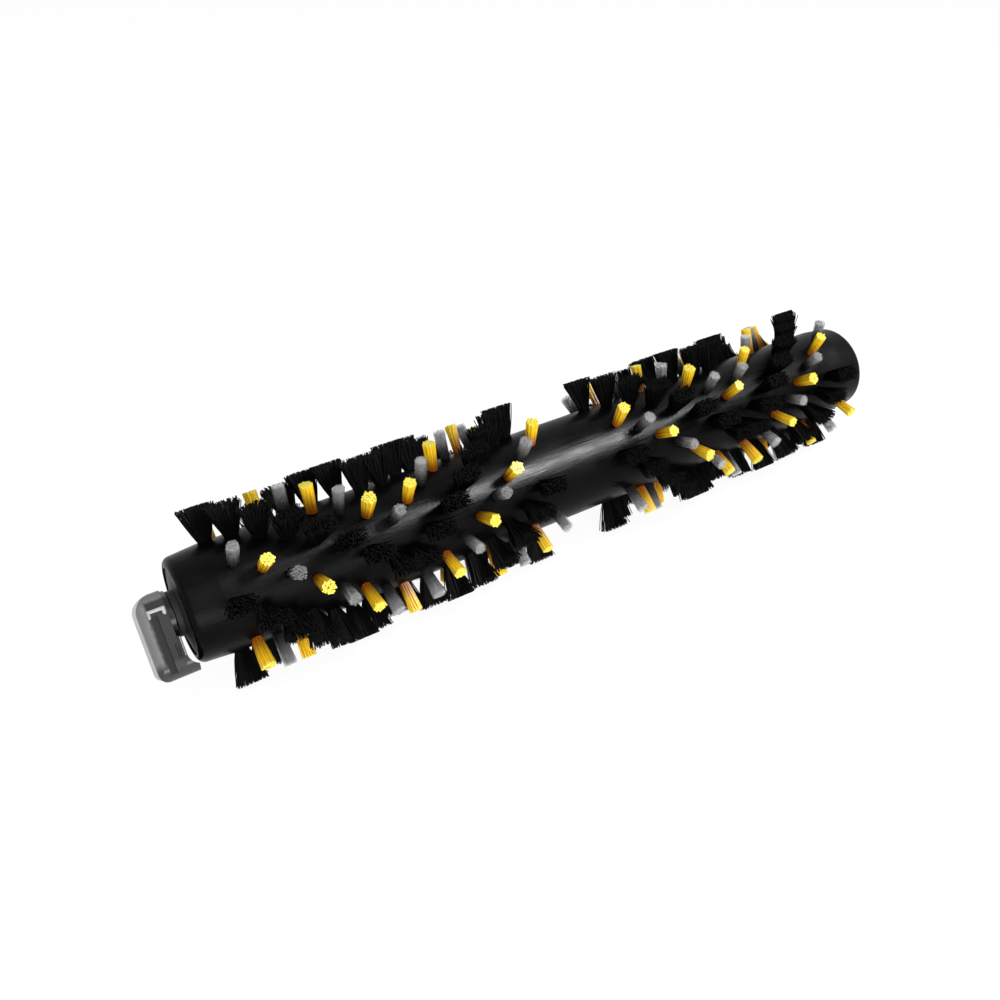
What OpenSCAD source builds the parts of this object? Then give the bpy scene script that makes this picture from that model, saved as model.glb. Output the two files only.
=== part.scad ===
// Roller brush of an upright wet and dry floor scrubber, with its idler bearing block.
// Millimetres. X runs along the brush axis, from the bearing block to the drive end. Z is up.
// The origin is on the brush axis, in the middle of the block's slide groove.

/* [Core] */
// Outer diameter of the core
core_diameter = 39; // [38:0.5:60]
// Diameter of the bore through the core
core_bore = 24; // [19:0.5:24.5]
// Bare length from each end of the core to the first coloured tuft
end_margin = 18.4; // [14:0.1:40]
// Bare band between the two halves, from coloured tuft to coloured tuft
bare_band = 38; // [20:0.5:90]
// How far the core's surface draws in at each end
end_taper = 1.1; // [0.2:0.1:1.3]
// Length over which it draws in
taper_length = 12; // [4:0.5:12]
// Rounding of the rim at each end of the core
rim_radius = 2.6; // [0.5:0.1:2.8]
// Diameter of the recess for the plug's flange in each end of the core
recess_diameter = 31; // [28:0.5:31.5]
// Depth of that recess
recess_depth = 3; // [2.5:0.1:6]

/* [Tuft pattern] */
// Tufts in each row of one half
tufts_per_row = 16; // [9:1:20]
// Spacing of the tufts along the axis
tuft_pitch = 7.84; // [7:0.02:12]
// Turn from one tuft to the next, in degrees
row_step = 15; // [10:0.5:18]
// Number of tufts before the point of the chevron
tufts_before_point = 7; // [2:1:13]
// Turn of the brush at rest, to the point of the first coloured chevron
brush_turn = -40; // [-180:1:180]

/* [Tufts] */
// Diameter of the tuft holes
hole_diameter = 4; // [3.2:0.1:4.4]
// Depth of the tuft holes
hole_depth = 6; // [4:0.1:7]
// Clearance around a tuft and its anchor in the hole
tuft_clearance = 0.05; // [0.02:0.01:0.15]
// Trim diameter of the coloured tufts
coloured_trim = 61; // [50:0.5:90]
// Diameter of a coloured tuft at its tip
coloured_tip = 5.7; // [4.2:0.1:7]
// Trim diameter of the black tufts
black_trim = 63.6; // [50:0.5:90]
// Width of a black tuft along the axis at its tip
fan_width = 12; // [6:0.1:14]
// Thickness of a black tuft at its tip
fan_thickness = 6.4; // [3.4:0.1:7]
// Thickness of the anchor strip that each tuft is folded over
anchor_thickness = 0.4; // [0.3:0.05:0.6]
// Height of the anchor strip
anchor_height = 1.4; // [1:0.1:2]

/* [Stub axle and bearing] */
// Diameter of the axle in the bearing
axle_diameter = 7; // [6.7:0.1:7.2]
// Diameter of the axle's shoulder and of its root in the plug
shoulder_diameter = 8.6; // [8:0.1:8.8]
// Length of the axle's root in the plug
root_length = 16; // [8:0.5:30]
// Outer diameter of the ball bearing
bearing_diameter = 14; // [13.6:0.1:14.6]
// Width of the ball bearing
bearing_width = 5; // [4:0.1:5.2]
// Diameter of the bearing balls
ball_diameter = 2; // [1.4:0.02:2.1]
// Number of bearing balls
ball_count = 9; // [6:1:9]
// Thickness of the retaining clip
clip_thickness = 0.8; // [0.5:0.05:1]
// Outer diameter of the retaining clip
clip_diameter = 10; // [9:0.1:10.6]

/* [Bearing block] */
// Height of the block above the axis
block_top = 9; // [8.6:0.1:16]
// Drop of the block below the axis
block_drop = 20; // [17:0.5:40]
// Width of the block across the axis
block_width = 22; // [21:0.5:36]
// Thickness of the block's body along the axis
block_thickness = 8.9; // [8.7:0.1:16]
// Rounding of the block's corners, seen along the axis
block_corner = 5; // [4:0.1:8]
// Rounding of the outer edge at the block's top
top_rounding = 6; // [3:0.1:6.5]
// Rounding of the outer edge at the block's bottom
bottom_rounding = 3.5; // [1:0.1:6]
// Rounding of the outer edge at the block's sides
side_rounding = 2.6; // [1:0.1:3]
// Lean of the block's slide direction from the vertical, in degrees
block_lean = 38; // [0:1:60]
// Distance from the block's outer face to the middle of the slide groove
groove_from_outer = 4.6; // [4.2:0.1:5.2]
// Width of the slide groove
groove_width = 2.2; // [1.6:0.1:2.4]
// Depth of the slide groove in each side
groove_depth = 1.8; // [0.8:0.1:2]
// Height above the axis of the stop at the groove's upper end
groove_stop = 1.6; // [0:0.1:2]
// Reach of the skirt's foot from the block's body towards the core
skirt_reach = 3.7; // [2:0.1:5.4]
// Wall of the skirt
skirt_wall = 1.3; // [0.8:0.1:2]
// Running gap between the skirt and the core
end_gap = 0.8; // [0.6:0.1:3]

/* [Drive end] */
// Diameter of the pilot bore that centres the drive hub
pilot_diameter = 18; // [16.5:0.1:20]
// Depth of the pilot bore
pilot_depth = 5; // [3:0.1:10]
// Width across the flats of the hexagonal drive socket
hex_flats = 13; // [9:0.1:14]
// Depth of the drive socket behind the pilot bore
hex_depth = 13; // [8:0.5:25]
// Length of the plugs in the core's bore
plug_length = 22; // [20.5:0.5:40]

/* [Hidden] */
$fn = 96;
rows = 4;            // chevron rows around the core, of each kind of tuft, as NODES names them
fit = 0.02;          // radial clearance of parts pressed together
overrun = 1;         // how far a cutting shape runs past the face it cuts
core_r = core_diameter / 2;
half_length = (tufts_per_row - 1) * tuft_pitch;
core_length = 2 * (end_margin + half_length) + bare_band;
row_gap = 360 / rows;
black_turn = row_gap / 2;
black_shift = -tuft_pitch / 2;
hole_r = hole_diameter / 2;
tuft_r = hole_r - tuft_clearance;
hole_floor = core_r - hole_depth;

// Stations along the axis, from the block's outer face to the drive end
outer_x = -groove_from_outer;
inner_x = outer_x + block_thickness;
core_x = inner_x + skirt_reach + end_gap;
drive_x = core_x + core_length;
plug_sink = 0.6;                 // how far a plug's flange lies below the core's rim
flange_thickness = recess_depth - plug_sink;
plug_face = core_x + plug_sink;
drive_face = drive_x - plug_sink;
flange_r = recess_diameter / 2 - fit;
flange_rim = 1.2;                // flat ring round the plug's face
dome_height = 1.2;               // rise of the idler plug's face to its boss
spigot_r = core_bore / 2 - fit;

// Seats in the block
outer_wall = 1.2;                // wall between the block's outer face and the cavity
cavity_length = 1.6;             // room for the clip between that wall and the bearing
cavity_r = clip_diameter / 2 + 0.5;
bearing_x = outer_x + outer_wall + cavity_length;
bearing_end = bearing_x + bearing_width;
seal_gap = 0.05;
seal_bore = shoulder_diameter / 2 + 0.3;
axle_end = outer_x + outer_wall + 0.3;
clip_groove_r = axle_diameter / 2 - 0.6;
collar_r = min(block_top, block_width / 2) - 0.4;
collar_reach = 1.7;
boss_r = shoulder_diameter / 2 + 3.6;
boss_x = inner_x + collar_reach + 0.5;

// Sides of the block, above and beside the slide groove
field_depth = 0.4;               // depth of the sunk field the groove lies in
field_top = groove_stop + 0.8;
pocket_floor = field_top + 1.6;  // the lip stands between the field and the pocket
pocket_height = 2;
pocket_depth = 1.4;
skirt_top = 7;                   // how far below the axis the skirt begins
skirt_lip = 1.1;                 // reach of the skirt above its foot
lip_r = 0.7;                     // beads round the lip, along the skirt's edge and on the field
edge_r = 0.4;
rib_r = 0.45;
foot_bend = block_drop * 0.67;   // how far below the axis the skirt bends out to its foot
foot_radius = 4.4;

// Ball bearing
bearing_mid = bearing_x + bearing_width / 2;
bearing_r = bearing_diameter / 2 - fit;
ball_r = ball_diameter / 2;
ball_gap = 0.06;                 // gap between a ball and each race
inner_bore = axle_diameter / 2 + fit;
pitch_r = (inner_bore + bearing_r) / 2;
land = 1;                        // radial thickness of each ring at its shoulders
inner_land_r = inner_bore + land;
outer_land_r = bearing_r - land;
shield_thickness = 0.3;
cage_r = 0.42;                   // half the radial thickness of the cage

// Where the first tuft of a half stands along the axis: half 0 is beside the block, half 1 the drive
function half_x(half) = half == 0 ? core_x + end_margin : drive_x - end_margin - half_length;
// Angle of a point on a chevron, counted from its point in tuft pitches
function chevron(steps) = row_step * abs(steps - tufts_before_point);
// A coloured tuft is yellow or grey in turn, and neighbouring rows start on the other colour
function is_yellow(half, row, i) = (half + row + i) % 2 == 1;

// Puts its children on the brush at x, at the angle turn, with their Z along the radius
module on_core(x, turn) {
    translate([x, 0, 0])
        rotate([90 - turn, 0, 0])
            children();
}

module coloured_places(half, row, yellow) {
    for (i = [0 : tufts_per_row - 1])
        if (is_yellow(half, row, i) == yellow)
            on_core(half_x(half) + i * tuft_pitch, brush_turn + row * row_gap + chevron(i))
                children();
}

module black_places(half, row) {
    for (i = [0 : tufts_per_row - 1])
        on_core(half_x(half) + i * tuft_pitch + black_shift,
                brush_turn + black_turn + row * row_gap + chevron(i - 0.5))
            children();
}

module all_places(half) {
    for (row = [0 : rows - 1]) {
        coloured_places(half, row, true) children();
        coloured_places(half, row, false) children();
        black_places(half, row) children();
    }
}

// A cylinder along the brush axis from x0 to x1
module turned(x0, x1, r) {
    translate([x0, 0, 0])
        rotate([0, 90, 0])
            cylinder(h = x1 - x0, r = r);
}

// A ring along the brush axis from x0 to x1
module ring(x0, x1, outer, inner) {
    difference() {
        turned(x0, x1, outer);
        turned(x0 - overrun, x1 + overrun, inner);
    }
}

// What is cut off the core at one end, for rotate_extrude: its taper and its rounded rim
module rim_profile(x_end, side) {
    draft = atan(end_taper / taper_length);
    foot_r = core_r - end_taper + rim_radius * (tan(draft) - 1 / cos(draft));
    difference() {
        polygon([[foot_r, x_end + side * overrun],
                 [core_r + overrun, x_end + side * overrun],
                 [core_r + overrun, x_end - side * taper_length],
                 [core_r, x_end - side * taper_length],
                 [foot_r + rim_radius * cos(draft), x_end - side * rim_radius * (1 - sin(draft))],
                 [foot_r, x_end - side * rim_radius]]);
        translate([foot_r, x_end - side * rim_radius])
            circle(r = rim_radius);
    }
}

module rim_cut(x_end, side) {
    rotate([0, 90, 0])
        rotate_extrude()
            rim_profile(x_end, side);
}

module core_tube() {
    color([0.03, 0.03, 0.035])
        difference() {
            turned(core_x, drive_x, core_r);
            turned(core_x - overrun, drive_x + overrun, core_bore / 2);
            turned(core_x - overrun, core_x + recess_depth, recess_diameter / 2);
            turned(drive_x - recess_depth, drive_x + overrun, recess_diameter / 2);
            rim_cut(core_x, -1);
            rim_cut(drive_x, 1);
            for (half = [0, 1])
                all_places(half)
                    translate([0, 0, hole_floor])
                        cylinder(h = hole_depth + overrun, r = hole_r, $fn = 24);
        }
}

// Root of a tuft in its hole, folded over the anchor
module tuft_root(top) {
    difference() {
        translate([0, 0, hole_floor])
            cylinder(h = top - hole_floor, r = tuft_r, $fn = 24);
        translate([-anchor_thickness / 2 - tuft_clearance, -hole_r, hole_floor - overrun])
            cube([anchor_thickness + 2 * tuft_clearance, 2 * hole_r,
                  anchor_height + tuft_clearance + overrun]);
    }
}

module coloured_tuft() {
    tuft_root(core_r);
    translate([0, 0, core_r])
        cylinder(h = coloured_trim / 2 - core_r, r1 = tuft_r, r2 = coloured_tip / 2, $fn = 24);
}

// A flat tuft whose bristles spread along the axis and are trimmed round
module black_tuft() {
    root = tuft_r * 0.9;
    reach = black_trim / 2 - core_r;
    tuft_root(core_r);
    intersection() {
        rotate([90, 0, 0])
            translate([0, core_r, -fan_thickness])
                linear_extrude(2 * fan_thickness)
                    polygon([[-root, 0], [root, 0], [fan_width / 2, reach], [-fan_width / 2, reach]]);
        rotate([90, 0, 90])
            translate([0, core_r, -fan_width])
                linear_extrude(2 * fan_width)
                    polygon([[-root, 0], [root, 0],
                             [fan_thickness / 2, reach], [-fan_thickness / 2, reach]]);
        turned(-fan_width, fan_width, black_trim / 2);
    }
}

module anchor() {
    translate([-anchor_thickness / 2, -hole_r + tuft_clearance, hole_floor])
        cube([anchor_thickness, 2 * (hole_r - tuft_clearance), anchor_height]);
}

// Slit between the two flat tufts that meet side by side at the point of a chevron
module point_slit(half, row) {
    slit = 0.3;
    on_core(half_x(half) + tufts_before_point * tuft_pitch,
            brush_turn + black_turn + row * row_gap + chevron(tufts_before_point - 0.5))
        translate([-slit / 2, -fan_thickness, core_r])
            cube([slit, 2 * fan_thickness, black_trim / 2]);
}

module black_tufts(half, row) {
    color([0.05, 0.05, 0.05])
        difference() {
            black_places(half, row - 1)
                black_tuft();
            point_slit(half, row - 1);
        }
}

module yellow_tufts(half, row) {
    color([0.95, 0.75, 0.12])
        coloured_places(half, row - 1, true)
            coloured_tuft();
}

module grey_tufts(half, row) {
    color([0.62, 0.62, 0.64])
        coloured_places(half, row - 1, false)
            coloured_tuft();
}

module tuft_anchors(half) {
    color([0.75, 0.68, 0.4])
        all_places(half)
            anchor();
}

// Flange and spigot that both plugs share
module plug_body(face, way) {
    far = face + way * plug_length;
    flange_end = face + way * flange_thickness;
    turned(min(face, flange_end), max(face, flange_end), flange_r);
    turned(min(face, far), max(face, far), spigot_r);
}

module idler_plug() {
    color([0.16, 0.16, 0.17])
        difference() {
            union() {
                plug_body(plug_face, 1);
                translate([plug_face - dome_height, 0, 0])
                    rotate([0, 90, 0])
                        cylinder(h = dome_height, r1 = boss_r, r2 = flange_r - flange_rim);
                turned(boss_x, plug_face, boss_r);
            }
            turned(boss_x - overrun, plug_face + root_length, shoulder_diameter / 2 + fit);
        }
}

module drive_plug() {
    moulding_groove = 1.2;
    color([0.16, 0.16, 0.17])
        difference() {
            plug_body(drive_face, -1);
            ring(drive_face - moulding_groove, drive_face + overrun,
                 flange_r - flange_rim, pilot_diameter / 2 + 2);
            turned(drive_face - pilot_depth, drive_face + overrun, pilot_diameter / 2);
            translate([drive_face - pilot_depth - hex_depth, 0, 0])
                rotate([0, 90, 0])
                    cylinder(h = hex_depth + overrun, d = hex_flats / cos(30), $fn = 6);
        }
}

module stub_axle() {
    color([0.72, 0.73, 0.75])
        difference() {
            union() {
                turned(axle_end, bearing_end, axle_diameter / 2);
                turned(bearing_end, plug_face + root_length, shoulder_diameter / 2);
            }
            ring(bearing_x - clip_thickness, bearing_x, axle_diameter, clip_groove_r);
        }
}

// Snap clip in the axle's groove, open on one side
module retaining_clip() {
    color([0.35, 0.35, 0.37])
        difference() {
            turned(bearing_x - clip_thickness, bearing_x, clip_diameter / 2);
            turned(bearing_x - overrun * 2, bearing_x + overrun, clip_groove_r + fit);
            translate([bearing_x - 2 * clip_thickness, -clip_groove_r * 0.8, 0])
                cube([3 * clip_thickness, clip_groove_r * 1.6, clip_diameter]);
        }
}

module race_groove() {
    translate([bearing_mid, 0, 0])
        rotate([0, 90, 0])
            rotate_extrude()
                translate([pitch_r, 0])
                    circle(r = ball_r + ball_gap, $fn = 48);
}

module bearing_inner_ring() {
    color([0.8, 0.8, 0.82])
        difference() {
            ring(bearing_x, bearing_end, inner_land_r, inner_bore);
            race_groove();
        }
}

module bearing_outer_ring() {
    color([0.8, 0.8, 0.82])
        difference() {
            ring(bearing_x, bearing_end, bearing_r, outer_land_r);
            race_groove();
            for (x = [bearing_x, bearing_end - shield_thickness])
                turned(x - (x == bearing_x ? overrun : 0),
                       x + shield_thickness + (x == bearing_x ? 0 : overrun),
                       outer_land_r + land / 3);
        }
}

module ball_places() {
    for (i = [0 : ball_count - 1])
        rotate([i * 360 / ball_count, 0, 0])
            translate([bearing_mid, 0, pitch_r])
                children();
}

module bearing_balls() {
    color([0.85, 0.85, 0.87])
        ball_places()
            sphere(r = ball_r, $fn = 32);
}

module bearing_cage() {
    half_width = ball_r + 0.35;
    color([0.75, 0.62, 0.35])
        difference() {
            ring(bearing_mid - half_width, bearing_mid + half_width,
                 pitch_r + cage_r, pitch_r - cage_r);
            ball_places()
                sphere(r = ball_r + ball_gap, $fn = 32);
        }
}

module bearing_shields() {
    color([0.1, 0.1, 0.1])
        for (x = [bearing_x, bearing_end - shield_thickness])
            ring(x, x + shield_thickness, outer_land_r + land / 3 - fit, inner_land_r + 0.12);
}

module dust_seal() {
    color([0.08, 0.08, 0.08])
        ring(bearing_end + seal_gap, inner_x, bearing_r, seal_bore);
}

module bearing_retainer() {
    color([0.12, 0.12, 0.13])
        ring(inner_x, inner_x + collar_reach, bearing_r, seal_bore);
}

// Outline of the block seen along the axis, drawn in by inset all round
module block_outline(inset) {
    w = block_width / 2 - inset;
    top = block_top - inset;
    low = -block_drop + inset;
    r = block_corner - inset;
    for (y = [-w + r, w - r])
        for (z = [low + r, top - r])
            translate([y, z])
                circle(r = r, $fn = 48);
    translate([-w, low + r])
        square([2 * w, top - low - 2 * r]);
    translate([-w + r, low])
        square([2 * w - 2 * r, top - low]);
}

// Outline from outer_x to inner_x and from low to high, with its two outer corners rounded
module outer_rounded(low, low_r, high, high_r) {
    translate([outer_x + low_r, low + low_r])
        circle(r = low_r, $fn = 64);
    translate([outer_x + high_r, high - high_r])
        circle(r = high_r, $fn = 64);
    translate([outer_x, low + low_r])
        square([block_thickness, high - low - low_r - high_r]);
    translate([outer_x + low_r, low])
        square([block_thickness - low_r, low_r * 2]);
    translate([outer_x + high_r, high - 2 * high_r])
        square([block_thickness - high_r, high_r * 2]);
}

// Extrudes a drawing across the axis from x0 to x1
module across(x0, x1) {
    translate([x0, 0, 0])
        rotate([90, 0, 90])
            linear_extrude(x1 - x0)
                children();
}

// Extrudes a drawing of x and z through the whole width of the block
module through_width() {
    rotate([90, 0, 0])
        translate([0, 0, -block_width])
            linear_extrude(2 * block_width)
                children();
}

module block_body() {
    intersection() {
        across(outer_x, inner_x)
            block_outline(0);
        through_width()
            outer_rounded(-block_drop, bottom_rounding, block_top, top_rounding);
        translate([0, 0, -block_drop - overrun])
            linear_extrude(block_drop + block_top + 2 * overrun)
                outer_rounded(-block_width / 2, side_rounding, block_width / 2, side_rounding);
    }
}

// Box that cuts into one side of the block to a depth, from x0 to x1 and from z0 to z1
module side_cut(side, depth, x0, x1, z0, z1) {
    floor_y = block_width / 2 - depth;
    translate([x0, side > 0 ? floor_y : -floor_y - depth - overrun, z0])
        cube([x1 - x0, depth + overrun, z1 - z0]);
}

// Slide groove, the sunk field beside it and the pocket above the lip, in one side
module side_cuts(side) {
    low = -block_drop - overrun;
    left = -groove_width / 2;
    side_cut(side, groove_depth, left, groove_width / 2, low, groove_stop);
    side_cut(side, field_depth, left, inner_x + overrun, low, field_top);
    side_cut(side, pocket_depth, left, inner_x + overrun, pocket_floor, pocket_floor + pocket_height);
}

// Rounded bead on one side of the block, sunk by depth, between two points given as [x, z]
module bead(side, r, depth, start, end) {
    y = side * (block_width / 2 - depth);
    for (place = [start, end])
        translate([place[0], y, place[1]])
            sphere(r = r, $fn = 32);
    translate([start[0], y, start[1]])
        rotate([0, start[1] == end[1] ? 90 : 0, 0])
            cylinder(h = norm(end - start), r = r, $fn = 32);
}

// Beads of one side: round the lip, along the skirt's edge, and a short one on the field
module side_beads(side) {
    lip_z = (field_top + pocket_floor) / 2;
    left = -groove_width / 2 - lip_r / 2;
    right = inner_x - 1.3 * lip_r;
    skirt_x = inner_x + skirt_lip - edge_r;
    bead_sink = 0.12;
    bead(side, lip_r, bead_sink, [left, lip_z], [right, lip_z]);
    bead(side, lip_r, bead_sink, [left, groove_stop], [left, lip_z]);
    bead(side, lip_r, bead_sink, [right, groove_stop], [right, lip_z]);
    bead(side, edge_r, bead_sink, [skirt_x, -foot_bend], [skirt_x, -skirt_top - edge_r]);
    bead(side, rib_r, field_depth, [right, -block_drop * 0.69], [right, -block_drop * 0.48]);
}

// Wall round the block's lower half that reaches towards the core, with a foot at the bottom
module block_skirt() {
    foot_height = block_drop - foot_bend;
    intersection() {
        across(inner_x, inner_x + skirt_reach)
            difference() {
                block_outline(0);
                block_outline(skirt_wall);
            }
        through_width() {
            translate([inner_x, -block_drop])
                square([skirt_lip, block_drop - skirt_top]);
            difference() {
                translate([inner_x, -block_drop])
                    square([skirt_reach, foot_height]);
                translate([inner_x + skirt_lip + foot_radius, -foot_bend])
                    circle(r = foot_radius, $fn = 64);
            }
        }
    }
    across(inner_x, inner_x + skirt_lip)
        translate([-block_width / 2 + skirt_wall, -block_drop * 0.62])
            square([block_width - 2 * skirt_wall, 1]);
}

module bearing_block() {
    color([0.36, 0.37, 0.38])
        rotate([-block_lean, 0, 0]) {
            difference() {
                union() {
                    block_body();
                    turned(inner_x, inner_x + collar_reach, collar_r);
                }
                turned(outer_x + outer_wall, bearing_x + overrun, cavity_r);
                turned(bearing_x, inner_x + collar_reach + overrun, bearing_diameter / 2);
                for (side = [-1, 1])
                    side_cuts(side);
            }
            for (side = [-1, 1])
                side_beads(side);
            block_skirt();
        }
}

core_tube();
idler_plug();
drive_plug();
stub_axle();
retaining_clip();
bearing_inner_ring();
bearing_outer_ring();
bearing_balls();
bearing_cage();
bearing_shields();
dust_seal();
bearing_retainer();
bearing_block();
tuft_anchors(0);  // tuft_anchors_left
tuft_anchors(1);  // tuft_anchors_right
black_tufts(0, 1);  // black_tufts_left_1
black_tufts(0, 2);  // black_tufts_left_2
black_tufts(0, 3);  // black_tufts_left_3
black_tufts(0, 4);  // black_tufts_left_4
black_tufts(1, 1);  // black_tufts_right_1
black_tufts(1, 2);  // black_tufts_right_2
black_tufts(1, 3);  // black_tufts_right_3
black_tufts(1, 4);  // black_tufts_right_4
yellow_tufts(0, 1);  // yellow_tufts_left_1
yellow_tufts(0, 2);  // yellow_tufts_left_2
yellow_tufts(0, 3);  // yellow_tufts_left_3
yellow_tufts(0, 4);  // yellow_tufts_left_4
yellow_tufts(1, 1);  // yellow_tufts_right_1
yellow_tufts(1, 2);  // yellow_tufts_right_2
yellow_tufts(1, 3);  // yellow_tufts_right_3
yellow_tufts(1, 4);  // yellow_tufts_right_4
grey_tufts(0, 1);  // grey_tufts_left_1
grey_tufts(0, 2);  // grey_tufts_left_2
grey_tufts(0, 3);  // grey_tufts_left_3
grey_tufts(0, 4);  // grey_tufts_left_4
grey_tufts(1, 1);  // grey_tufts_right_1
grey_tufts(1, 2);  // grey_tufts_right_2
grey_tufts(1, 3);  // grey_tufts_right_3
grey_tufts(1, 4);  // grey_tufts_right_4
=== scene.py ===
from math import cos, radians, sin

import bmesh
import bpy
import numpy as np
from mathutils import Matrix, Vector


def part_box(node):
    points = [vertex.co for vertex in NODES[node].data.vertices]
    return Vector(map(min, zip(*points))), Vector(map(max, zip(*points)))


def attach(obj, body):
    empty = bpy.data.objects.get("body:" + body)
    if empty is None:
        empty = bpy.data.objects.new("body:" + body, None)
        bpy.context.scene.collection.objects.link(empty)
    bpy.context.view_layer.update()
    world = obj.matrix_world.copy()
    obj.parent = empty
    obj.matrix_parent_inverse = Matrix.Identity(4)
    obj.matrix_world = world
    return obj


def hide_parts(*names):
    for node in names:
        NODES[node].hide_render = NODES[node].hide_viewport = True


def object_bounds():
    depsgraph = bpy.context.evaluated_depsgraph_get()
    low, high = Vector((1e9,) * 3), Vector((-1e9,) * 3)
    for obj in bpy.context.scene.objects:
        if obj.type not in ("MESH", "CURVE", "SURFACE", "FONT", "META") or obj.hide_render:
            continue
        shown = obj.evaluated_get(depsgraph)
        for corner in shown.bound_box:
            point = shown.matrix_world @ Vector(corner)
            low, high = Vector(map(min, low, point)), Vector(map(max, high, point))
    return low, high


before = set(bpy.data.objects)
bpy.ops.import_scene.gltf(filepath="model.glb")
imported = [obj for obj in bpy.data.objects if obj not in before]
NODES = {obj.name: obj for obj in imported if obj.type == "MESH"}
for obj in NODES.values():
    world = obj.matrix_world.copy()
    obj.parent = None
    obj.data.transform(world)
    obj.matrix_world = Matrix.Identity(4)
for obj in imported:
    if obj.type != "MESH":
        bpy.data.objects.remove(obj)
CAD_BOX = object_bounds()

# Sizes of the CAD, in metres
CORE_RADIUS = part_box("core_tube")[1].z
BLOCK_LEAN = 38                       # turn of the bearing block about the brush axis, in degrees
BLOCK_SIDE = 0.011                    # half of the block's width
BLOCK_TOP, BLOCK_FOOT = 0.009, -0.020
BLOCK_CORNER = 0.005                  # rounding of its corners, seen along the axis
COLOURED_TRIM, BLACK_TRIM = 0.0305, 0.0318    # trim radius of the tufts
TUFT_ROWS = 4                         # rows of each sort of tuft on one half of the brush

FOOT_DEPTH = 0.0005                   # a tuft's points within this of its lowest make its foot
WELD = 1e-6                           # distance at which points of a CAD mesh are the same

FULL_TURN, HALF_TURN = 6.2832, 3.14159
GOLDEN_ANGLE = 2.399963               # turn from one seed of a sunflower head to the next


# ---------------------------------------------------------------- node trees

class Tree:
    """Adds nodes to a tree; a plain value is set on its socket, and a socket is linked."""

    def __init__(self, tree):
        self.tree = tree
        self.links = tree.links

    def put(self, kind, inputs=(), **settings):
        node = self.tree.nodes.new(kind)
        for key, value in settings.items():
            setattr(node, key, value)
        pairs = inputs.items() if isinstance(inputs, dict) else enumerate(inputs)
        for key, value in pairs:
            self.feed(node.inputs[key], value)
        return node

    def feed(self, socket, value):
        if isinstance(value, bpy.types.NodeSocket):
            self.links.new(value, socket)
        elif value is not None:
            socket.default_value = value

    def math(self, operation, *values):
        return self.put("ShaderNodeMath", values, operation=operation).outputs[0]

    def vector(self, operation, *values):
        return self.put("ShaderNodeVectorMath", values, operation=operation).outputs[0]

    def scaled(self, vector, factor):
        inputs = {"Vector": vector, "Scale": factor}
        return self.put("ShaderNodeVectorMath", inputs, operation="SCALE").outputs[0]

    def xyz(self, x=0.0, y=0.0, z=0.0):
        return self.put("ShaderNodeCombineXYZ", (x, y, z)).outputs[0]

    def grey(self, level):
        return self.put("ShaderNodeCombineColor", (level, level, level)).outputs[0]

    def noise(self, vector, scale, detail, **inputs):
        inputs = {"Vector": vector, "Scale": scale, "Detail": detail, **inputs}
        return self.put("ShaderNodeTexNoise", inputs).outputs["Fac"]

    def ramp(self, value, low, high, shape="SMOOTHSTEP"):
        """0 up to low and 1 from high on."""
        inputs = (value, low, high, 0.0, 1.0)
        return self.put("ShaderNodeMapRange", inputs, interpolation_type=shape).outputs[0]

    def mix(self, factor, a, b, kind="MIX", **settings):
        """Colour b over colour a."""
        node = self.put("ShaderNodeMix", data_type="RGBA", blend_type=kind, **settings)
        for socket, value in (("Factor", factor), ("A", a), ("B", b)):
            self.feed(node.inputs[socket], value)
        return node.outputs["Result"]


def add_sockets(tree, inputs, outputs):
    """Gives a group its named sockets: (name, kind, default) going in, (name, kind) coming out."""
    for name, kind, *default in inputs:
        socket = tree.interface.new_socket(name, in_out="INPUT", socket_type="NodeSocket" + kind)
        if default:
            socket.default_value = default[0]
    for name, kind in outputs:
        tree.interface.new_socket(name, in_out="OUTPUT", socket_type="NodeSocket" + kind)
    return tree.nodes.new("NodeGroupInput"), tree.nodes.new("NodeGroupOutput")


# ---------------------------------------------------------------- shader groups

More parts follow.
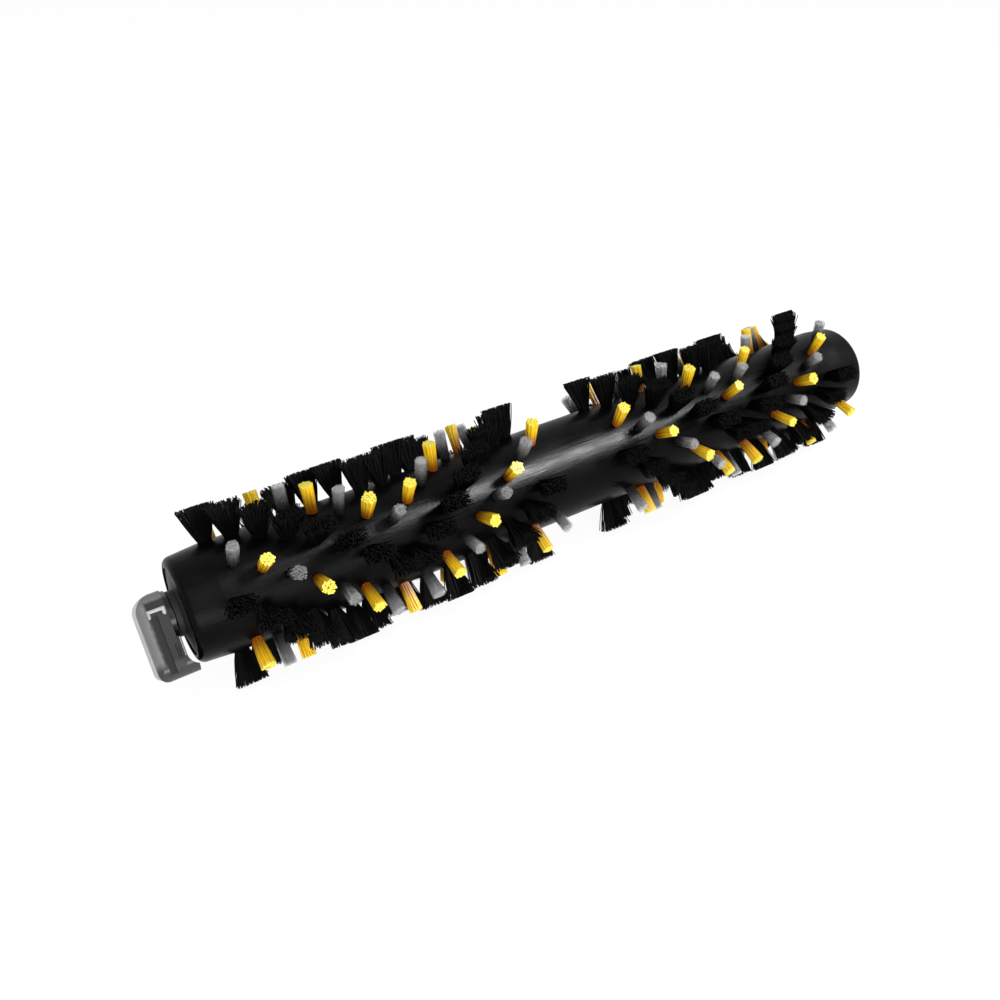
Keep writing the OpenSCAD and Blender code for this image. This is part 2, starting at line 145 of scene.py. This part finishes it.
def moulded_skin_group():
    """Fine texture of a moulded surface, with long faint drag marks and a drifting sheen."""
    drag_stretch = (0.12, 1.0, 1.0)   # drag marks are long along the brush
    drag_scale, patch_scale = 700.0, 55.0
    patch_share, drag_share = 0.65, 0.35
    contrast = 4.0                    # noise keeps near its middle, so its swing is widened
    least_rough, most_rough = 0.05, 0.95
    tree = bpy.data.node_groups.new("moulded_skin", "ShaderNodeTree")
    into, out = add_sockets(
        tree,
        [("Grain", "Float", 900.0), ("Marks", "Float", 0.3), ("Roughness", "Float", 0.4),
         ("Spread", "Float", 0.1), ("Color", "Color", (0.5, 0.5, 0.5, 1)),
         ("Drift", "Float", 0.1)],
        [("Height", "Float"), ("Roughness", "Float"), ("Color", "Color")])
    t = Tree(tree)
    get = into.outputs
    here = t.put("ShaderNodeTexCoord").outputs["Object"]
    along = t.put("ShaderNodeMapping", {"Vector": here, "Scale": drag_stretch}).outputs[0]
    grain = t.noise(here, get["Grain"], 3.0)
    drag = t.noise(along, drag_scale, 4.0, Roughness=0.65)
    patch = t.noise(here, patch_scale, 4.0, Roughness=0.6)
    height = t.math("MULTIPLY_ADD", drag, get["Marks"], grain)
    t.links.new(height, out.inputs["Height"])

    mixed = t.math("ADD", t.math("MULTIPLY", patch, patch_share),
                   t.math("MULTIPLY", drag, drag_share))
    swing = t.math("SUBTRACT", mixed, 0.5)
    offset = t.math("MULTIPLY", swing, get["Spread"])
    rough = t.math("MULTIPLY_ADD", offset, contrast, get["Roughness"])
    clamped = t.put("ShaderNodeClamp", (rough, least_rough, most_rough)).outputs[0]
    t.links.new(clamped, out.inputs["Roughness"])

    tone = t.math("MULTIPLY_ADD", swing, t.math("MULTIPLY", get["Drift"], contrast), 1.0)
    color = t.mix(1.0, get["Color"], t.grey(tone), "MULTIPLY", clamp_result=True)
    t.links.new(color, out.inputs["Color"])
    return tree


def block_tone_group():
    """Tone of the smoky bearing block, with painted light and shade: pale at its thin rounded
    edge and along its top, painted light shining through the plastic; a painted highlight on
    its beads; painted shade in its recesses; and a tone of its own at its foot."""
    unevenness = 0.002                        # how far the noise shifts the zones' borders
    edge_blur, foot_blur = 0.0006, 0.0015
    recess_shade_start, recess_shade_full = 0.0004, 0.0012    # depth below the block's outline at which the painted shade starts and is full
    bead_highlight_start, bead_highlight_full = 0.0001, 0.0004        # height above it at which the painted highlight starts and is full
    tree = bpy.data.node_groups.new("block_tone", "ShaderNodeTree")
    into, out = add_sockets(
        tree,
        [("Body", "Color", (0.06, 0.06, 0.06, 1)), ("Edge", "Color", (0.2, 0.2, 0.2, 1)),
         ("Bead", "Color", (0.5, 0.5, 0.5, 1)), ("Foot", "Color", (0.2, 0.18, 0.15, 1)),
         ("Recess", "Color", (0.01, 0.01, 0.01, 1)), ("Edge reach", "Float", -0.0018),
         ("Top height", "Float", 0.0063), ("Foot height", "Float", -0.0145)],
        [("Color", "Color")])
    t = Tree(tree)
    get = into.outputs
    here = t.put("ShaderNodeTexCoord").outputs["Object"]
    upright = {"Vector": here, "Rotation": (radians(BLOCK_LEAN), 0.0, 0.0)}
    stood = t.put("ShaderNodeMapping", upright).outputs[0]
    x, y, z = t.put("ShaderNodeSeparateXYZ", (stood,)).outputs
    uneven = t.noise(here, 250.0, 3.0, Roughness=0.6)
    wobble = t.math("MULTIPLY", t.math("SUBTRACT", uneven, 0.5), unevenness)

    # How far a point lies inside the block's rounded outline
    middle = (BLOCK_TOP + BLOCK_FOOT) / 2
    straight = (BLOCK_TOP - BLOCK_FOOT) / 2 - BLOCK_CORNER
    past = t.math("SUBTRACT", t.math("ABSOLUTE", t.math("SUBTRACT", z, middle)), straight)
    past = t.math("MINIMUM", t.math("MAXIMUM", past, 0.0), BLOCK_CORNER)
    rise = t.math("SUBTRACT", BLOCK_CORNER ** 2, t.math("MULTIPLY", past, past))
    outline = t.math("ADD", t.math("SQRT", rise), BLOCK_SIDE - BLOCK_CORNER)
    sunk = t.math("SUBTRACT", outline, t.math("ABSOLUTE", y))
    proud = t.math("MULTIPLY", sunk, -1.0)

    # The zones, each 0 to 1: painted edge light, the foot, painted recess shade, painted bead
    # highlight
    left_of = t.math("SUBTRACT", get["Edge reach"], t.math("ADD", x, wobble))
    above = t.math("SUBTRACT", t.math("ADD", z, wobble), get["Top height"])
    below = t.math("SUBTRACT", get["Foot height"], t.math("ADD", z, wobble))
    # Painted light: the thin edge and the top made pale, as if light shone through the plastic
    painted_edge_light = t.math("MAXIMUM", t.ramp(left_of, -edge_blur, edge_blur),
                     t.ramp(above, -edge_blur, edge_blur))
    on_panel = t.math("SUBTRACT", 1.0, painted_edge_light)
    at_foot = t.ramp(below, -foot_blur, foot_blur)
    # Painted shade: the recesses made dark
    painted_recess_shade = t.math("MULTIPLY", t.ramp(sunk, recess_shade_start, recess_shade_full), on_panel)
    # Painted highlight: the beads made pale
    painted_bead_highlight = t.math("MULTIPLY", t.ramp(proud, bead_highlight_start, bead_highlight_full), on_panel)
    color = t.mix(painted_edge_light, get["Body"], get["Edge"])
    color = t.mix(at_foot, color, get["Foot"])
    color = t.mix(painted_recess_shade, color, get["Recess"])
    color = t.mix(painted_bead_highlight, color, get["Bead"])
    t.links.new(color, out.inputs["Color"])
    return tree


def filament_tone_group():
    """Colour of a cut filament: painted shade deep at the root, clear along the shaft, and
    painted light pale at the cut end.

    The filaments carry two values: along, from 0 at the foot to 1 at the end, and tone, random."""
    # Where the painted root shade ends, the shaft is clear and the painted cut-end light starts
    root_shade_end, shaft_clear, cut_light_start = 0.1, 0.85, 0.9
    tree = bpy.data.node_groups.new("filament_tone", "ShaderNodeTree")
    into, out = add_sockets(
        tree,
        [("Root", "Color", (0.1, 0.1, 0.1, 1)), ("Shaft", "Color", (0.3, 0.3, 0.3, 1)),
         ("Cut", "Color", (0.6, 0.6, 0.6, 1)), ("Spread", "Float", 0.2)],
        [("Color", "Color")])
    t = Tree(tree)
    get = into.outputs
    along = t.put("ShaderNodeAttribute", attribute_name="along").outputs["Fac"]
    tone = t.put("ShaderNodeAttribute", attribute_name="tone").outputs["Fac"]
    # Painted shade at the root and painted light at the cut end
    past_root_shade = t.ramp(along, root_shade_end, shaft_clear)
    cut_end_light = t.ramp(along, cut_light_start, 1.0, "LINEAR")
    body = t.mix(past_root_shade, get["Root"], get["Shaft"])
    cut = t.mix(cut_end_light, body, get["Cut"])
    level = t.math("MULTIPLY_ADD", t.math("SUBTRACT", tone, 0.5), get["Spread"], 1.0)
    t.links.new(t.mix(1.0, cut, t.grey(level), "MULTIPLY"), out.inputs["Color"])
    return tree


SKIN = moulded_skin_group()
BLOCK_TONE = block_tone_group()
FILAMENT = filament_tone_group()


# ---------------------------------------------------------------- materials

def new_material(name, **constants):
    """A material with its Principled shader; constants go on the shader's own sockets."""
    made = bpy.data.materials.new(name)
    made.use_nodes = True
    shader = made.node_tree.nodes["Principled BSDF"]
    for key, value in constants.items():
        shader.inputs[key.replace("_", " ")].default_value = value
    return made, Tree(made.node_tree), shader


def skinned(name, color, grain=900.0, marks=0.3, roughness=0.4, spread=0.08, drift=0.08,
            depth=0.00002, tones=None, **constants):
    """A moulded, turned or ground surface, in one colour or in the tones of the block's zones,
    which carry painted light and shade.
    """
    made, t, shader = new_material(name, **constants)
    skin = t.put("ShaderNodeGroup", node_tree=SKIN)
    for key, value in (("Grain", grain), ("Marks", marks), ("Roughness", roughness),
                       ("Spread", spread), ("Color", (*color, 1)), ("Drift", drift)):
        skin.inputs[key].default_value = value
    bump = t.put("ShaderNodeBump", {"Strength": 1.0, "Distance": depth,
                                    "Height": skin.outputs["Height"]})
    t.links.new(skin.outputs["Color"], shader.inputs["Base Color"])
    t.links.new(skin.outputs["Roughness"], shader.inputs["Roughness"])
    t.links.new(bump.outputs[0], shader.inputs["Normal"])
    if tones:
        zones = t.put("ShaderNodeGroup", node_tree=BLOCK_TONE)
        for key, value in tones.items():
            zones.inputs[key].default_value = (*value, 1)
        t.links.new(zones.outputs["Color"], skin.inputs["Color"])
    return made


def bristled(name, root, shaft, cut, spread, **constants):
    """A filament material; its root colour is painted shade and its cut colour painted light."""
    made, t, shader = new_material(name, **constants)
    tone = t.put("ShaderNodeGroup", node_tree=FILAMENT)
    for key, value in (("Root", (*root, 1)), ("Shaft", (*shaft, 1)), ("Cut", (*cut, 1)),
                       ("Spread", spread)):
        tone.inputs[key].default_value = value
    t.links.new(tone.outputs["Color"], shader.inputs["Base Color"])
    return made


# The edge tone is painted light, the bead tone a painted highlight, the recess tone painted shade
BLOCK_TONES = {"Body": (0.016, 0.016, 0.018), "Edge": (0.19, 0.19, 0.197),
               "Bead": (0.5, 0.5, 0.52), "Foot": (0.05, 0.049, 0.05),
               "Recess": (0.003, 0.003, 0.004)}

core_black = skinned("core_gloss_black", (0.0015, 0.0015, 0.0018), marks=2.2, roughness=0.32,
                     spread=0.2, drift=0.06, depth=0.00004, Specular_IOR_Level=0.055)
plug_black = skinned("end_plug_black", (0.03, 0.03, 0.032), roughness=0.5,
                     Specular_IOR_Level=0.15)
block_smoke = skinned("block_smoke_grey", BLOCK_TONES["Body"], grain=500.0, marks=0.1,
                      roughness=0.22, drift=0.15, tones=BLOCK_TONES, Specular_IOR_Level=0.3)
retainer_black = skinned("retainer_satin_black", (0.02, 0.02, 0.022), grain=500.0, marks=0.1,
                         roughness=0.35, Specular_IOR_Level=0.3)
axle_steel = skinned("axle_turned_steel", (0.3, 0.3, 0.31), marks=0.6, roughness=0.35,
                     Metallic=1.0)
clip_steel = skinned("clip_blued_steel", (0.16, 0.16, 0.18), roughness=0.35, Metallic=1.0)
bearing_steel = skinned("bearing_ground_steel", (0.7, 0.7, 0.72), roughness=0.15, spread=0.03,
                        Metallic=1.0)
cage_brass = skinned("cage_pressed_brass", (0.62, 0.43, 0.16), roughness=0.3, Metallic=1.0)
anchor_metal = skinned("anchor_drawn_brass", (0.6, 0.43, 0.2), roughness=0.35, Metallic=1.0)
seal_rubber = skinned("seal_matt_rubber", (0.02, 0.02, 0.02), roughness=0.7,
                      Specular_IOR_Level=0.3)

# Each filament's root colour is painted shade and its cut colour painted light
black_bristle = bristled("bristle_matt_black", (0.002, 0.002, 0.002), (0.004, 0.004, 0.004),
                         (0.007, 0.007, 0.007), 0.6, Roughness=0.7, Specular_IOR_Level=0.04)
yellow_bristle = bristled("bristle_yellow", (0.35, 0.09, 0.002), (1.0, 0.64, 0.02),
                          (1.0, 0.86, 0.12), 0.2, Roughness=0.4, Specular_IOR_Level=0.15)
grey_bristle = bristled("bristle_grey", (0.14, 0.14, 0.145), (0.75, 0.75, 0.76),
                        (1.0, 1.0, 1.0), 0.04, Roughness=0.15, Specular_IOR_Level=0.5,
                        Transmission_Weight=0.89, IOR=1.06)

FINISHES = {
    "core_tube": core_black,
    "idler_plug": plug_black,
    "drive_plug": plug_black,
    "stub_axle": axle_steel,
    "retaining_clip": clip_steel,
    "bearing_inner_ring": bearing_steel,
    "bearing_outer_ring": bearing_steel,
    "bearing_balls": bearing_steel,
    "bearing_cage": cage_brass,
    "bearing_shields": seal_rubber,
    "dust_seal": seal_rubber,
    "bearing_retainer": retainer_black,
    "bearing_block": block_smoke,
    "tuft_anchors_left": anchor_metal,
    "tuft_anchors_right": anchor_metal,
}
for node, finish in FINISHES.items():
    NODES[node].data.materials.clear()
    NODES[node].data.materials.append(finish)


# ---------------------------------------------------------------- tufts of bristles

def mesh_islands(mesh):
    """The points of each separate part of a bmesh."""
    seen = set()
    for first in mesh.verts:
        if first in seen:
            continue
        seen.add(first)
        island, queue = [], [first]
        while queue:
            vertex = queue.pop()
            island.append(vertex.co.copy())
            for edge in vertex.link_edges:
                other = edge.other_vert(vertex)
                if other not in seen:
                    seen.add(other)
                    queue.append(other)
        yield np.array(island)


def tuft_stations(node):
    """Where the tufts of a CAD node stand: (place along the axis, angle about it)."""
    mesh = bmesh.new()
    mesh.from_mesh(NODES[node].data)
    bmesh.ops.remove_doubles(mesh, verts=mesh.verts, dist=WELD)
    stations = []
    for points in mesh_islands(mesh):
        reach = np.hypot(points[:, 1], points[:, 2])
        foot = points[reach < reach.min() + FOOT_DEPTH]
        middle = (foot.min(0) + foot.max(0)) / 2
        stations.append((middle[0], np.arctan2(middle[2], middle[1])))
    mesh.free()
    return sorted(stations)


def tuft_tree():
    """Geometry Nodes: a tuft of separate filaments on each point, from its hole to its trim.

    The points carry two directions: outward, along the radius, and across, round the core."""
    tree = bpy.data.node_groups.new("bristle_tuft", "GeometryNodeTree")
    into, out = add_sockets(
        tree,
        [("Geometry", "Geometry"), ("Bristles", "Int", 20), ("Bristle radius", "Float", 0.0002),
         ("Bristle sides", "Int", 3), ("Hole radius", "Float", 0.0018),
         ("Tip width", "Float", 0.005), ("Tip thickness", "Float", 0.005),
         ("Squareness", "Float", 0.0), ("Trim radius", "Float", 0.03), ("Sunk", "Float", 0.001),
         ("Ragged", "Float", 0.0005), ("Jitter", "Float", 0.05), ("Bend", "Float", 0.0003),
         ("Lean", "Float", 0.0003), ("Splay", "Float", 0.1), ("Seed", "Int", 1),
         ("Material", "Material")],
        [("Geometry", "Geometry")])
    t = Tree(tree)
    get = into.outputs

    def random(low, high, salt, kind="FLOAT", identity=None):
        """A random value; salt keeps the draws of one tuft apart."""
        node = t.put("FunctionNodeRandomValue", data_type=kind)
        suffix = "" if kind == "FLOAT_VECTOR" else "_001"
        sockets = {s.identifier: s for s in node.inputs}
        t.feed(sockets["Min" + suffix], low)
        t.feed(sockets["Max" + suffix], high)
        t.feed(sockets["Seed"], t.math("ADD", get["Seed"], float(salt)))
        t.feed(sockets["ID"], identity)
        return next(s for s in node.outputs if s.enabled)

    def store(geometry, name, value, kind="FLOAT"):
        node = t.put("GeometryNodeStoreNamedAttribute", data_type=kind, domain="POINT")
        t.links.new(geometry, node.inputs["Geometry"])
        node.inputs["Name"].default_value = name
        t.links.new(value, next(s for s in node.inputs if s.name == "Value" and s.enabled))
        return node.outputs["Geometry"]

    def named(name, kind="FLOAT"):
        node = t.put("GeometryNodeInputNamedAttribute", data_type=kind)
        node.inputs["Name"].default_value = name
        return next(s for s in node.outputs if s.name == "Attribute" and s.enabled)

    # Facts of each tuft: its own lean, splay and the turn of its packing
    points = t.put("GeometryNodeMeshToPoints", {"Mesh": get["Geometry"]}).outputs[0]
    minus_lean = t.math("MULTIPLY", get["Lean"], -1.0)
    lean = t.xyz(random(minus_lean, get["Lean"], 1), random(minus_lean, get["Lean"], 2))
    points = store(points, "lean", lean, "FLOAT_VECTOR")
    least_splay = t.math("SUBTRACT", 1.0, get["Splay"])
    points = store(points, "splay", random(least_splay, 1.0, 3))
    points = store(points, "packing", random(0.0, FULL_TURN, 4))

    # One point for each filament, packed as a sunflower head; stretch squares the head off
    copies = t.put("GeometryNodeDuplicateElements",
                   {"Geometry": points, "Amount": get["Bristles"]}, domain="POINT")
    index = t.put("GeometryNodeInputIndex").outputs[0]
    rank = copies.outputs["Duplicate Index"]
    reach = t.math("SQRT", t.math("DIVIDE", t.math("ADD", rank, 0.5), get["Bristles"]))
    turn = t.math("MULTIPLY_ADD", rank, GOLDEN_ANGLE, named("packing"))
    cosine, sine = t.math("COSINE", turn), t.math("SINE", turn)
    widest = t.math("MAXIMUM", t.math("ABSOLUTE", cosine), t.math("ABSOLUTE", sine))
    to_square = t.math("SUBTRACT", t.math("DIVIDE", 1.0, widest), 1.0)
    copied = store(copies.outputs["Geometry"], "u", t.math("MULTIPLY", reach, cosine))
    copied = store(copied, "v", t.math("MULTIPLY", reach, sine))
    copied = store(copied, "stretch",
                   t.math("MULTIPLY_ADD", to_square, get["Squareness"], 1.0))
    copied = store(copied, "tone", random(0.0, 1.0, 5, identity=index))

    # Foot and end of each filament, along the axis (x), across it (y) and outward (z)
    u, v, stretch = named("u"), named("v"), named("stretch")
    foot_x = t.math("MULTIPLY", u, get["Hole radius"])
    foot_y = t.math("MULTIPLY", v, get["Hole radius"])
    minus_jitter = t.math("MULTIPLY", get["Jitter"], -1.0)
    jitter_x, jitter_y = (random(minus_jitter, get["Jitter"], salt, identity=index)
                          for salt in (6, 7))
    lean_x, lean_y, _ = t.put("ShaderNodeSeparateXYZ", (named("lean", "FLOAT_VECTOR"),)).outputs
    half = t.math("MULTIPLY", named("splay"), 0.5)
    tip_x = t.math("MULTIPLY", t.math("MULTIPLY_ADD", u, stretch, jitter_x),
                   t.math("MULTIPLY", get["Tip width"], half))
    tip_y = t.math("MULTIPLY", t.math("MULTIPLY_ADD", v, stretch, jitter_y),
                   t.math("MULTIPLY", get["Tip thickness"], half))
    tip_x = t.math("ADD", tip_x, lean_x)
    tip_y = t.math("ADD", tip_y, lean_y)
    trim = t.math("SQRT", t.math("SUBTRACT", t.math("POWER", get["Trim radius"], 2.0),
                                 t.math("POWER", tip_y, 2.0)))
    short = t.math("POWER", random(0.0, 1.0, 8, identity=index), 3.0)
    tip_z = t.math("SUBTRACT", trim, t.math("MULTIPLY", get["Ragged"], short))
    outward, across = named("outward", "FLOAT_VECTOR"), named("across", "FLOAT_VECTOR")
    position = t.put("GeometryNodeInputPosition").outputs[0]
    sideways = t.vector("ADD", t.xyz(foot_x), t.scaled(across, foot_y))
    start = t.vector("ADD", position, sideways)
    start = t.vector("SUBTRACT", start, t.scaled(outward, get["Sunk"]))
    on_axis = t.vector("MULTIPLY", position, (1.0, 0.0, 0.0))
    sideways = t.vector("ADD", t.xyz(tip_x), t.scaled(across, tip_y))
    end = t.vector("ADD", on_axis, sideways)
    end = t.vector("ADD", end, t.scaled(outward, tip_z))
    copied = store(copied, "way", t.vector("SUBTRACT", end, start), "FLOAT_VECTOR")
    bow = random((-1, -1, -1), (1, 1, 1), 9, "FLOAT_VECTOR", index)
    copied = store(copied, "bow", t.scaled(bow, get["Bend"]), "FLOAT_VECTOR")
    moved = t.put("GeometryNodeSetPosition", {"Geometry": copied, "Position": start}).outputs[0]

    # One filament, standing on its foot with its length 1
    rod = t.put("GeometryNodeMeshCylinder", {"Vertices": get["Bristle sides"],
                                             "Side Segments": 3, "Radius": 1.0, "Depth": 1.0})
    raised = t.put("GeometryNodeSetPosition",
                   {"Geometry": rod.outputs["Mesh"], "Offset": (0, 0, 0.5)}).outputs[0]
    place = t.put("GeometryNodeInputPosition").outputs[0]
    height = t.put("ShaderNodeSeparateXYZ", (place,)).outputs[2]
    raised = store(raised, "along", height)

    # A filament on each point, turned and stretched from its foot to its end, and bowed
    way = named("way", "FLOAT_VECTOR")
    length = t.put("ShaderNodeVectorMath", (way,), operation="LENGTH").outputs["Value"]
    aimed = t.put("FunctionNodeAlignRotationToVector", {"Vector": way}, axis="Z").outputs[0]
    size = t.xyz(get["Bristle radius"], get["Bristle radius"], length)
    placed = t.put("GeometryNodeInstanceOnPoints", {
        "Points": moved, "Instance": raised, "Rotation": aimed, "Scale": size}).outputs[0]
    real = t.put("GeometryNodeRealizeInstances", {"Geometry": placed}).outputs[0]
    bulge = t.math("SINE", t.math("MULTIPLY", named("along"), HALF_TURN))
    offset = t.scaled(named("bow", "FLOAT_VECTOR"), bulge)
    bent = t.put("GeometryNodeSetPosition", {"Geometry": real, "Offset": offset}).outputs[0]
    finished = t.put("GeometryNodeSetMaterial",
                     {"Geometry": bent, "Material": get["Material"]}).outputs[0]
    t.links.new(finished, out.inputs["Geometry"])
    return tree


TUFT = tuft_tree()
TUFT_INPUTS = {s.name: s.identifier for s in TUFT.interface.items_tree if s.in_out == "INPUT"}


def bristle_piece(name, node, finish, slot, **sizes):
    """Filaments in place of the CAD solids of one node, riding on the brush."""
    stations = tuft_stations(node)
    mesh = bpy.data.meshes.new(name)
    mesh.from_pydata([(x, CORE_RADIUS * cos(a), CORE_RADIUS * sin(a)) for x, a in stations],
                     [], [])
    outward = mesh.attributes.new("outward", "FLOAT_VECTOR", "POINT")
    across = mesh.attributes.new("across", "FLOAT_VECTOR", "POINT")
    outward.data.foreach_set("vector", [c for _, a in stations for c in (0, cos(a), sin(a))])
    across.data.foreach_set("vector", [c for _, a in stations for c in (0, -sin(a), cos(a))])
    piece = bpy.data.objects.new(name, mesh)
    bpy.context.scene.collection.objects.link(piece)
    grower = piece.modifiers.new("tufts", "NODES")
    grower.node_group = TUFT
    for key, value in {**sizes, "Material": finish}.items():
        grower[TUFT_INPUTS[key]] = value
    bpy.context.view_layer.update()
    depsgraph = bpy.context.evaluated_depsgraph_get()
    grown = bpy.data.meshes.new_from_object(
        piece.evaluated_get(depsgraph), preserve_all_data_layers=True, depsgraph=depsgraph)
    piece.modifiers.remove(grower)
    piece.data = grown
    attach(piece, "roller")
    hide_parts(node)


BLACK = {"Bristles": 200, "Bristle radius": 0.0002, "Bristle sides": 3, "Hole radius": 0.0019,
         "Tip width": 0.012, "Tip thickness": 0.0064, "Squareness": 0.9,
         "Trim radius": BLACK_TRIM, "Sunk": 0.001, "Ragged": 0.0012, "Jitter": 0.12,
         "Bend": 0.0004, "Lean": 0.0003, "Splay": 0.1}
COLOURED = {"Bristles": 37, "Bristle radius": 0.00038, "Bristle sides": 6,
            "Hole radius": 0.0016, "Tip width": 0.005, "Tip thickness": 0.005,
            "Squareness": 0.0, "Trim radius": COLOURED_TRIM, "Sunk": 0.001, "Ragged": 0.0004,
            "Jitter": 0.06, "Bend": 0.00015, "Lean": 0.0005, "Splay": 0.2}
SORTS = (("black", black_bristle, BLACK), ("yellow", yellow_bristle, COLOURED),
         ("grey", grey_bristle, COLOURED))
seed = 10                             # each piece draws from a seed of its own
for sort, finish, sizes in SORTS:
    for half in ("left", "right"):
        for row in range(1, TUFT_ROWS + 1):
            seed += 1
            bristle_piece(f"{sort}_bristles_{half}_{row}", f"{sort}_tufts_{half}_{row}", finish,
                          f"{sort}_bristle", Seed=seed, **sizes)


# ---------------------------------------------------------------- camera, floor and light

CAMERA_EYE, CAMERA_TARGET = (-0.0276, -0.2761, 0.2178), (0.1638, 0, 0)
CAMERA_LENS, CAMERA_SENSOR = 35.61, 36
CAMERA_SHIFT = (-0.0659, -0.0338)
CORE_MIDDLE, BRUSH_MIDDLE = (0.2, 0, 0), (0.16, 0, 0)     # what the lamps are aimed at
WORLD_LIGHT, WORLD_SEEN = 0.35, 1.0   # strength of the world as a lamp and as a background
FLOOR_HALF, FLOOR_GAP = 3.0, 0.0002
FLOOR_WHITE, FLOOR_FAINT = 0.8, 0.16  # albedo as a lit floor, and of what shows the shadow
FLOOR_GLOW = 0.93


def aim(thing, eye, target):
    thing.location = eye
    thing.rotation_euler = (Vector(target) - Vector(eye)).to_track_quat("-Z", "Y").to_euler()


def add_camera():
    """A camera that sees the brush from the idler end, from above and in front."""
    data = bpy.data.cameras.new("camera")
    data.sensor_width = CAMERA_SENSOR
    data.lens = CAMERA_LENS
    data.shift_x, data.shift_y = CAMERA_SHIFT
    data.clip_start, data.clip_end = 0.01, 20
    camera = bpy.data.objects.new("camera", data)
    bpy.context.scene.collection.objects.link(camera)
    aim(camera, CAMERA_EYE, CAMERA_TARGET)
    bpy.context.scene.camera = camera


def add_softbox(name, eye, target, width, height, power, only_gloss=False):
    """A rectangular lamp; one that lights only gloss leaves the matt surfaces as they are."""
    data = bpy.data.lights.new(name, "AREA")
    data.shape = "RECTANGLE"
    data.size, data.size_y, data.energy = width, height, power
    lamp = bpy.data.objects.new(name, data)
    lamp.visible_diffuse = not only_gloss
    bpy.context.scene.collection.objects.link(lamp)
    aim(lamp, eye, target)


def seen_directly(t):
    """1 for camera, mirror and glass rays, which see the plain white background."""
    path = t.put("ShaderNodeLightPath").outputs
    most = t.math("MAXIMUM", path["Is Camera Ray"], path["Is Glossy Ray"])
    return t.math("MAXIMUM", most, path["Is Transmission Ray"])


def add_world():
    """A white world, weaker as a lamp than as a background."""
    world = bpy.data.worlds.new("studio")
    world.use_nodes = True
    bpy.context.scene.world = world
    t = Tree(world.node_tree)
    strength = t.put("ShaderNodeMix", data_type="FLOAT")
    for socket, value in (("Factor", seen_directly(t)), ("A", WORLD_LIGHT), ("B", WORLD_SEEN)):
        t.feed(strength.inputs[socket], value)
    background = world.node_tree.nodes["Background"]
    background.inputs["Color"].default_value = (1, 1, 1, 1)
    t.links.new(strength.outputs["Result"], background.inputs["Strength"])


def add_floor():
    """A white floor: a matt one for the light it throws back, and seen as white with a shadow."""
    level = CAD_BOX[0].z - FLOOR_GAP
    corners = ((-1, -1), (1, -1), (1, 1), (-1, 1))
    mesh = bpy.data.meshes.new("floor")
    mesh.from_pydata([(x * FLOOR_HALF, y * FLOOR_HALF, level) for x, y in corners], [],
                     [(0, 1, 2, 3)])
    floor = bpy.data.objects.new("floor", mesh)
    bpy.context.scene.collection.objects.link(floor)
    paint = bpy.data.materials.new("floor_white")
    paint.use_nodes = True
    nodes = paint.node_tree.nodes
    nodes.remove(nodes["Principled BSDF"])
    t = Tree(paint.node_tree)
    matt, faint = (t.put("ShaderNodeBsdfDiffuse", {"Color": (tone, tone, tone, 1)}).outputs[0]
                   for tone in (FLOOR_WHITE, FLOOR_FAINT))
    glow = t.put("ShaderNodeEmission", {"Color": (1, 1, 1, 1), "Strength": FLOOR_GLOW}).outputs[0]
    bright = t.put("ShaderNodeAddShader", (faint, glow)).outputs[0]
    mixed = t.put("ShaderNodeMixShader", (seen_directly(t), matt, bright)).outputs[0]
    t.links.new(mixed, nodes["Material Output"].inputs["Surface"])
    mesh.materials.append(paint)


add_camera()
add_world()
add_floor()
add_softbox("key_softbox", (0.49, -0.19, 0.47), CORE_MIDDLE, width=0.34, height=0.15, power=1.4)
add_softbox("gloss_strip", (0.40, -0.28, 0.42), CORE_MIDDLE, width=0.17, height=0.115, power=13.5,
            only_gloss=True)
add_softbox("wide_softbox", (-0.1, -0.7, 0.9), BRUSH_MIDDLE, width=0.8, height=0.8, power=2.5)
add_softbox("low_softbox", (-0.05, -0.8, 0.1), BRUSH_MIDDLE, width=0.7, height=0.3, power=5.0)

bpy.context.scene.view_settings.view_transform = "Standard"
